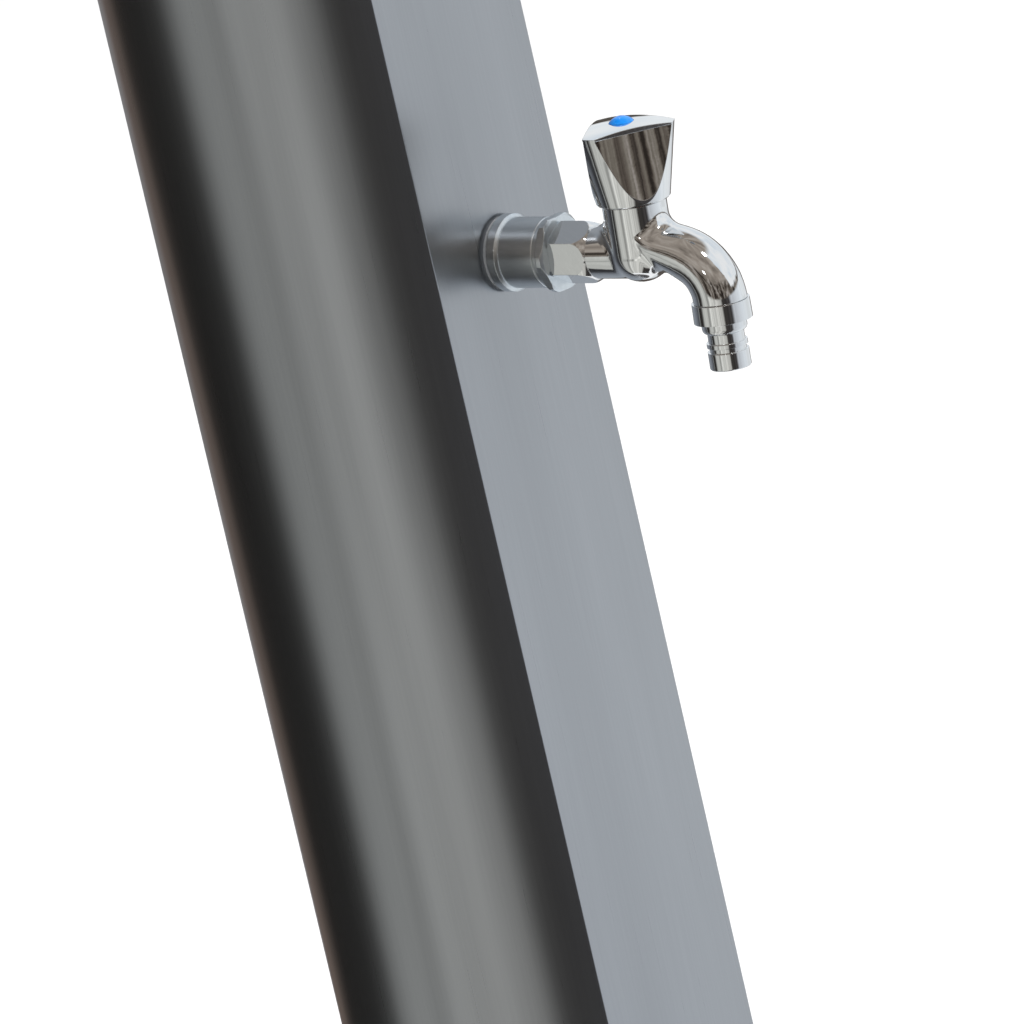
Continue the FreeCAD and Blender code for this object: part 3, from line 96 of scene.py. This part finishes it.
# Metals: scales are in waves per metre, stretched along X, Y and Z; relief is the depth of the noise in metres
METALS = {
    "brushed_steel": {
        "dark": (0.345, 0.36, 0.385), "light": (0.365, 0.38, 0.405), "roughness": (0.265, 0.295), "scale": 900,
        "stretch": (1, 1, 0.012), "relief": 0.0000008, "patches": 16},
    "welded_steel": {
        "dark": (0.36, 0.37, 0.38), "light": (0.46, 0.47, 0.48), "roughness": (0.4, 0.55), "scale": 300,
        "stretch": (1, 1, 1), "relief": 0.00005},
    "screw_steel": {
        "dark": (0.46, 0.47, 0.48), "light": (0.54, 0.55, 0.56), "roughness": (0.25, 0.35), "scale": 900,
        "stretch": (1, 1, 0.2), "relief": 0.00001},
    "copper_pipe": {
        "dark": (0.55, 0.24, 0.13), "light": (0.68, 0.36, 0.23), "roughness": (0.25, 0.45), "scale": 60,
        "stretch": (1, 1, 0.3), "relief": 0.00002},
    "fitting_brass": {
        "dark": (0.60, 0.44, 0.19), "light": (0.74, 0.58, 0.29), "roughness": (0.25, 0.4), "scale": 250,
        "stretch": (1, 1, 1), "relief": 0.00003},
    "chrome": {
        "dark": (0.74, 0.76, 0.775), "light": (0.76, 0.775, 0.79), "roughness": (0.02, 0.05), "scale": 70,
        "stretch": (1, 1, 1), "relief": 0.00006},
    "satin_chrome": {
        "dark": (0.60, 0.645, 0.68), "light": (0.68, 0.725, 0.76), "roughness": (0.26, 0.34), "scale": 500,
        "stretch": (1, 0.2, 1), "relief": 0.000006},
}
# Rubbers, plastics and fibres, with an even grain
SOFT_MATERIALS = {
    "dull_gasket": {
        "dark": (0.24, 0.25, 0.26), "light": (0.30, 0.31, 0.32), "roughness": (0.35, 0.5), "scale": 900,
        "relief": 0.00002},
    "black_rubber": {
        "dark": (0.02, 0.02, 0.022), "light": (0.04, 0.04, 0.042), "roughness": (0.5, 0.7), "scale": 1500,
        "relief": 0.00003},
    "fibre_gasket": {
        "dark": (0.22, 0.06, 0.04), "light": (0.42, 0.14, 0.10), "roughness": (0.7, 0.9), "scale": 1200,
        "relief": 0.00005},
    "white_plastic": {
        "dark": (0.76, 0.76, 0.74), "light": (0.83, 0.83, 0.81), "roughness": (0.35, 0.5), "scale": 800,
        "relief": 0.00002},
    "grey_silicone": {
        "dark": (0.17, 0.18, 0.19), "light": (0.23, 0.24, 0.25), "roughness": (0.45, 0.6), "scale": 1000,
        "relief": 0.00003},
    "blue_index": {
        "dark": (0.004, 0.19, 0.66), "light": (0.008, 0.26, 0.80), "roughness": (0.10, 0.16), "scale": 400,
        "relief": 0.000005},
}
# Nodes whose finish differs from their slot's
FINISH = {"tap_socket": "satin_chrome", "lock_ring": "satin_chrome", "socket_gasket": "dull_gasket"}


# Helpers for node materials

def node_material(name):
    material = bpy.data.materials.new(name)
    material.use_nodes = True
    tree = material.node_tree
    return material, tree, tree.nodes["Principled BSDF"]


def add(tree, kind, inputs=None, **settings):
    """A shader node with its settings. An input is a socket to link or a value to set."""
    node = tree.nodes.new("ShaderNode" + kind)
    for key, value in settings.items():
        setattr(node, key, value)
    for key, value in (inputs or {}).items():
        if isinstance(value, bpy.types.NodeSocket):
            tree.links.new(value, node.inputs[key])
        else:
            node.inputs[key].default_value = value
    return node


def spread(tree, value, old=(0.0, 1.0), new=(0.0, 1.0)):
    """The value, mapped from the old range to the new one and held inside it."""
    ends = {"From Min": old[0], "From Max": old[1], "To Min": new[0], "To Max": new[1]}
    return add(tree, "MapRange", {"Value": value, **ends}).outputs["Result"]


def calculate(tree, operation, first, second):
    return add(tree, "Math", {0: first, 1: second}, operation=operation).outputs[0]


def mix_values(tree, first, second, factor):
    return add(tree, "Mix", {2: first, 3: second, "Factor": factor}, data_type="FLOAT").outputs[0]


def mix_tones(tree, first, second, factor):
    return add(tree, "Mix", {6: first, 7: second, "Factor": factor}, data_type="RGBA").outputs[2]


def brighten(tree, tone, brightness):
    inputs = {6: tone, 7: brightness, "Factor": 1.0}
    return add(tree, "Mix", inputs, data_type="RGBA", blend_type="MULTIPLY").outputs[2]


def ramp(tree, factor, stops):
    """A colour ramp from (place, tone) pairs."""
    node = add(tree, "ValToRGB", {"Fac": factor})
    elements = node.color_ramp.elements
    for index, (place, tone) in enumerate(stops):
        element = elements[index] if index < 2 else elements.new(place)
        element.position = place
        element.color = (*tone, 1)
    return node.outputs["Color"]


def ramp_by_direction(tree, radial, stops):
    """A colour ramp from (degrees, tone or share) pairs."""
    whole = [((angle + 180) / 360, tone if isinstance(tone, tuple) else (tone, tone, tone)) for angle, tone in stops]
    return ramp(tree, radial, whole)


def object_noise(tree, scale, detail, stretch=(1, 1, 1)):
    """Noise in the row frame: scale in waves per metre, stretched by factors along X, Y and Z."""
    place = add(tree, "TexCoord").outputs["Object"]
    mapping = add(tree, "Mapping", {"Vector": place, "Scale": [scale * s for s in stretch]})
    return add(tree, "TexNoise", {"Vector": mapping.outputs["Vector"], "Scale": 1.0, "Detail": detail}).outputs["Fac"]


# Materials of the pieces

def finish_surface(tree, shader, noise, tone, roughness, relief):
    """Tone, roughness and fine relief from one noise, over edges that are broken as real ones are."""
    tree.links.new(tone, shader.inputs["Base Color"])
    tree.links.new(spread(tree, noise, new=roughness), shader.inputs["Roughness"])
    rounded = add(tree, "Bevel", {"Radius": EDGE_RADIUS}, samples=EDGE_SAMPLES)
    bump = add(tree, "Bump", {"Height": noise, "Distance": relief, "Strength": 1.0, "Normal": rounded.outputs[0]})
    tree.links.new(bump.outputs["Normal"], shader.inputs["Normal"])


def metal(name, dark, light, roughness, scale, stretch, relief, patches=None):
    """A metal with streaks, and with wide soft patches of so many waves per metre."""
    material, tree, shader = node_material(name)
    shader.inputs["Metallic"].default_value = 1.0
    streaks = object_noise(tree, scale, STREAK_DETAIL, stretch)
    tone = ramp(tree, streaks, [(TINT_FROM, dark), (TINT_TO, light)])
    if patches:
        wide = object_noise(tree, patches, PATCH_DETAIL, PATCH_STRETCH)
        tone = brighten(tree, tone, spread(tree, wide, (TINT_FROM, TINT_TO), PATCH_BRIGHTNESS))
    finish_surface(tree, shader, streaks, tone, roughness, relief)
    return material


def soft(name, dark, light, roughness, scale, relief):
    """A rubber, plastic or fibre with a grained surface."""
    material, tree, shader = node_material(name)
    grain = object_noise(tree, scale, GRAIN_DETAIL)
    tone = ramp(tree, grain, [(TINT_FROM, dark), (TINT_TO, light)])
    finish_surface(tree, shader, grain, tone, roughness, relief)
    return material


def materials():
    looks = {name: metal(name, **values) for name, values in METALS.items()}
    looks.update({name: soft(name, **values) for name, values in SOFT_MATERIALS.items()})
    return looks


def dress(nodes, record, looks):
    for entry in record["subparts"]:
        thing = nodes[entry["node"]]
        thing.data.materials.clear()
        thing.data.materials.append(looks[FINISH.get(entry["node"], entry["material_slot"])])


# Stage: floor, white background, mirrored surroundings, camera and lamps

def stage_mesh(name, vertices, faces, material):
    mesh = bpy.data.meshes.new(name)
    mesh.from_pydata(vertices, [], faces)
    mesh.materials.append(material)
    thing = bpy.data.objects.new(name, mesh)
    bpy.context.scene.collection.objects.link(thing)
    return thing


def floor():
    material, _, shader = node_material("floor")
    shader.inputs["Roughness"].default_value = FLOOR_ROUGHNESS
    shader.inputs["Base Color"].default_value = FLOOR_TONE
    corners = [(x * FLOOR_HALF, y * FLOOR_HALF, 0) for x, y in ((-1, -1), (1, -1), (1, 1), (-1, 1))]
    stage_mesh("floor", corners, [(0, 1, 2, 3)], material)


def white_world():
    world = bpy.data.worlds.new("white")
    world.use_nodes = True
    background = world.node_tree.nodes["Background"]
    background.inputs["Color"].default_value = (1, 1, 1, 1)
    background.inputs["Strength"].default_value = 1.0
    bpy.context.scene.world = world


def ground_tone(tree, place, radial, streaks):
    """Ground tones by direction, with fine streaks, and with coarse ones on the ring that the tap mirrors."""
    fine = spread(tree, streaks(FINE_STREAKS), FINE_RANGE, FINE_BRIGHTNESS)
    coarse = spread(tree, streaks(COARSE_STREAKS), COARSE_RANGE, COARSE_BRIGHTNESS)
    away = add(tree, "VectorMath", {0: place}, operation="LENGTH").outputs["Value"]
    ring = calculate(tree, "MULTIPLY", spread(tree, away, RING_INNER), spread(tree, away, RING_OUTER))
    brightness = mix_values(tree, fine, coarse, ring)
    brightness = mix_values(tree, 1.0, brightness, ramp_by_direction(tree, radial, UNEVEN))
    return brighten(tree, ramp_by_direction(tree, radial, GROUND), brightness)


def sky_share(tree, height, radial, streaks):
    """One where the sky is seen: above a ragged line of trees, and below the dome's top."""
    level = calculate(tree, "DIVIDE", height, DOME_HEIGHT)
    ragged = spread(tree, streaks(SKYLINE_STREAKS), new=SKYLINE_SHARES)
    skyline = calculate(tree, "MULTIPLY", ramp_by_direction(tree, radial, SKYLINE), ragged)
    above_trees = spread(tree, calculate(tree, "SUBTRACT", level, skyline), SKYLINE_EDGE)
    return calculate(tree, "MULTIPLY", above_trees, spread(tree, level, CEILING))


def surroundings_material():
    """Ground round the post, and trees on the horizon with white sky above."""
    material = bpy.data.materials.new("surroundings")
    material.use_nodes = True
    tree = material.node_tree
    tree.nodes.clear()
    place = add(tree, "TexCoord").outputs["Object"]
    # The gradient's seam lies straight behind the post as the camera sees it
    turn = add(tree, "Mapping", {"Vector": place, "Rotation": (0, 0, CAMERA_AZIMUTH + math.pi / 2)})
    radial = add(tree, "TexGradient", {"Vector": turn.outputs["Vector"]}, gradient_type="RADIAL").outputs["Fac"]
    height = add(tree, "SeparateXYZ", {"Vector": place}).outputs["Z"]

    def streaks(waves):
        around, upwards, detail = waves
        spot = add(tree, "CombineXYZ", {
            "X": calculate(tree, "MULTIPLY", radial, around), "Y": calculate(tree, "MULTIPLY", height, upwards)})
        return add(tree, "TexNoise", {"Vector": spot.outputs[0], "Scale": 1.0, "Detail": detail}).outputs["Fac"]

    tone = ground_tone(tree, place, radial, streaks)
    tone = mix_tones(tree, tone, ramp(tree, streaks(TREE_STREAKS), TREES), spread(tree, height, TREES_FROM))
    tone = mix_tones(tree, tone, ramp(tree, streaks(CANOPY_STREAKS), CANOPY), spread(tree, height, CANOPY_FROM))
    clouds = add(tree, "TexNoise", {"Vector": place, "Scale": SKY_SCALE, "Detail": SKY_DETAIL}).outputs["Fac"]
    tone = mix_tones(tree, tone, ramp(tree, clouds, SKY), sky_share(tree, height, radial, streaks))
    emission = add(tree, "Emission", {"Color": tone, "Strength": 1.0})
    output = add(tree, "OutputMaterial", {"Surface": emission.outputs["Emission"]})
    output.is_active_output = True
    return material


def surroundings():
    """Ground, trees and sky that only mirror rays meet."""
    angles = [2 * math.pi * step / DOME_STEPS for step in range(DOME_STEPS)]
    vertices = [(r * math.cos(t), r * math.sin(t), z) for r, z in DOME_PROFILE for t in angles]
    faces = []
    for row in range(len(DOME_PROFILE) - 1):
        lower, upper = row * DOME_STEPS, (row + 1) * DOME_STEPS
        for step in range(DOME_STEPS):
            following = (step + 1) % DOME_STEPS
            faces.append((lower + step, lower + following, upper + following, upper + step))
    dome = stage_mesh("surroundings", vertices, faces, surroundings_material())
    for kind in ("camera", "diffuse", "transmission", "volume_scatter", "shadow"):
        setattr(dome, "visible_" + kind, False)


def camera():
    """Stands where the photographer stood: the tap's socket meets the flat face at its pixel in the photograph."""
    low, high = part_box("socket_gasket")
    on_face = Vector(((low[0] + high[0]) / 2, high[1], (low[2] + high[2]) / 2))
    sin_a, cos_a = math.sin(CAMERA_AZIMUTH), math.cos(CAMERA_AZIMUTH)
    sin_e, cos_e = math.sin(CAMERA_ELEVATION), math.cos(CAMERA_ELEVATION)
    back = Vector((-sin_a * cos_e, -cos_a * cos_e, sin_e))
    level_right, level_up = Vector((cos_a, -sin_a, 0)), Vector((sin_a * sin_e, cos_a * sin_e, cos_e))
    right = level_right * math.cos(CAMERA_ROLL) - level_up * math.sin(CAMERA_ROLL)
    up = level_right * math.sin(CAMERA_ROLL) + level_up * math.cos(CAMERA_ROLL)
    metres_per_pixel = CAMERA_DISTANCE / FOCAL_PIXELS
    centre = IMAGE_SIDE / 2
    aim = (on_face + right * (centre - TAP_ON_FACE_PIXEL[0]) * metres_per_pixel
           - up * (centre - TAP_ON_FACE_PIXEL[1]) * metres_per_pixel)
    data = bpy.data.cameras.new("camera")
    data.sensor_width = SENSOR_MM
    data.lens = SENSOR_MM * FOCAL_PIXELS / IMAGE_SIDE
    data.clip_end = CAMERA_REACH
    thing = bpy.data.objects.new("camera", data)
    bpy.context.scene.collection.objects.link(thing)
    turned = Matrix((right, up, back)).transposed().to_4x4()
    thing.matrix_world = Matrix.Translation(aim + back * CAMERA_DISTANCE) @ turned
    bpy.context.scene.camera = thing


def lamp(name, azimuth, elevation, distance, side, watts, mirrored=False):
    """A square lamp aimed at the tap: it lights, or is only mirrored."""
    low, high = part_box("tap_body")
    target = (Vector(low) + Vector(high)) / 2
    angle = math.radians(azimuth) - CAMERA_AZIMUTH - math.pi / 2
    height = math.radians(elevation)
    away = Vector((math.cos(angle) * math.cos(height), math.sin(angle) * math.cos(height), math.sin(height)))
    data = bpy.data.lights.new(name, "AREA")
    data.size, data.energy = side, watts
    thing = bpy.data.objects.new(name, data)
    thing.visible_glossy, thing.visible_diffuse = mirrored, not mirrored
    bpy.context.scene.collection.objects.link(thing)
    turned = away.to_track_quat("Z", "Y").to_matrix().to_4x4()
    thing.matrix_world = Matrix.Translation(target + away * distance) @ turned


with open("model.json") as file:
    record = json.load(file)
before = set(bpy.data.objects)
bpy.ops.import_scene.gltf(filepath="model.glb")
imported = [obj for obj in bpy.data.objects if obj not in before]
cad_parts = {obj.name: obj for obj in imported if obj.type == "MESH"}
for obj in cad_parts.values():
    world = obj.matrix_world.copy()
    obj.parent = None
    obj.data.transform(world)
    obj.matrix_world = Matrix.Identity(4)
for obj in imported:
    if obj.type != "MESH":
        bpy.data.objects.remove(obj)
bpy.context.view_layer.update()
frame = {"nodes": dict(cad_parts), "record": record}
nodes, record = frame["nodes"], frame["record"]
bpy.context.scene.view_settings.view_transform = "Standard"
camera()
white_world()
floor()
surroundings()
for lamp_name, placing in LAMPS.items():
    lamp(lamp_name, **placing)
dress(nodes, record, materials())
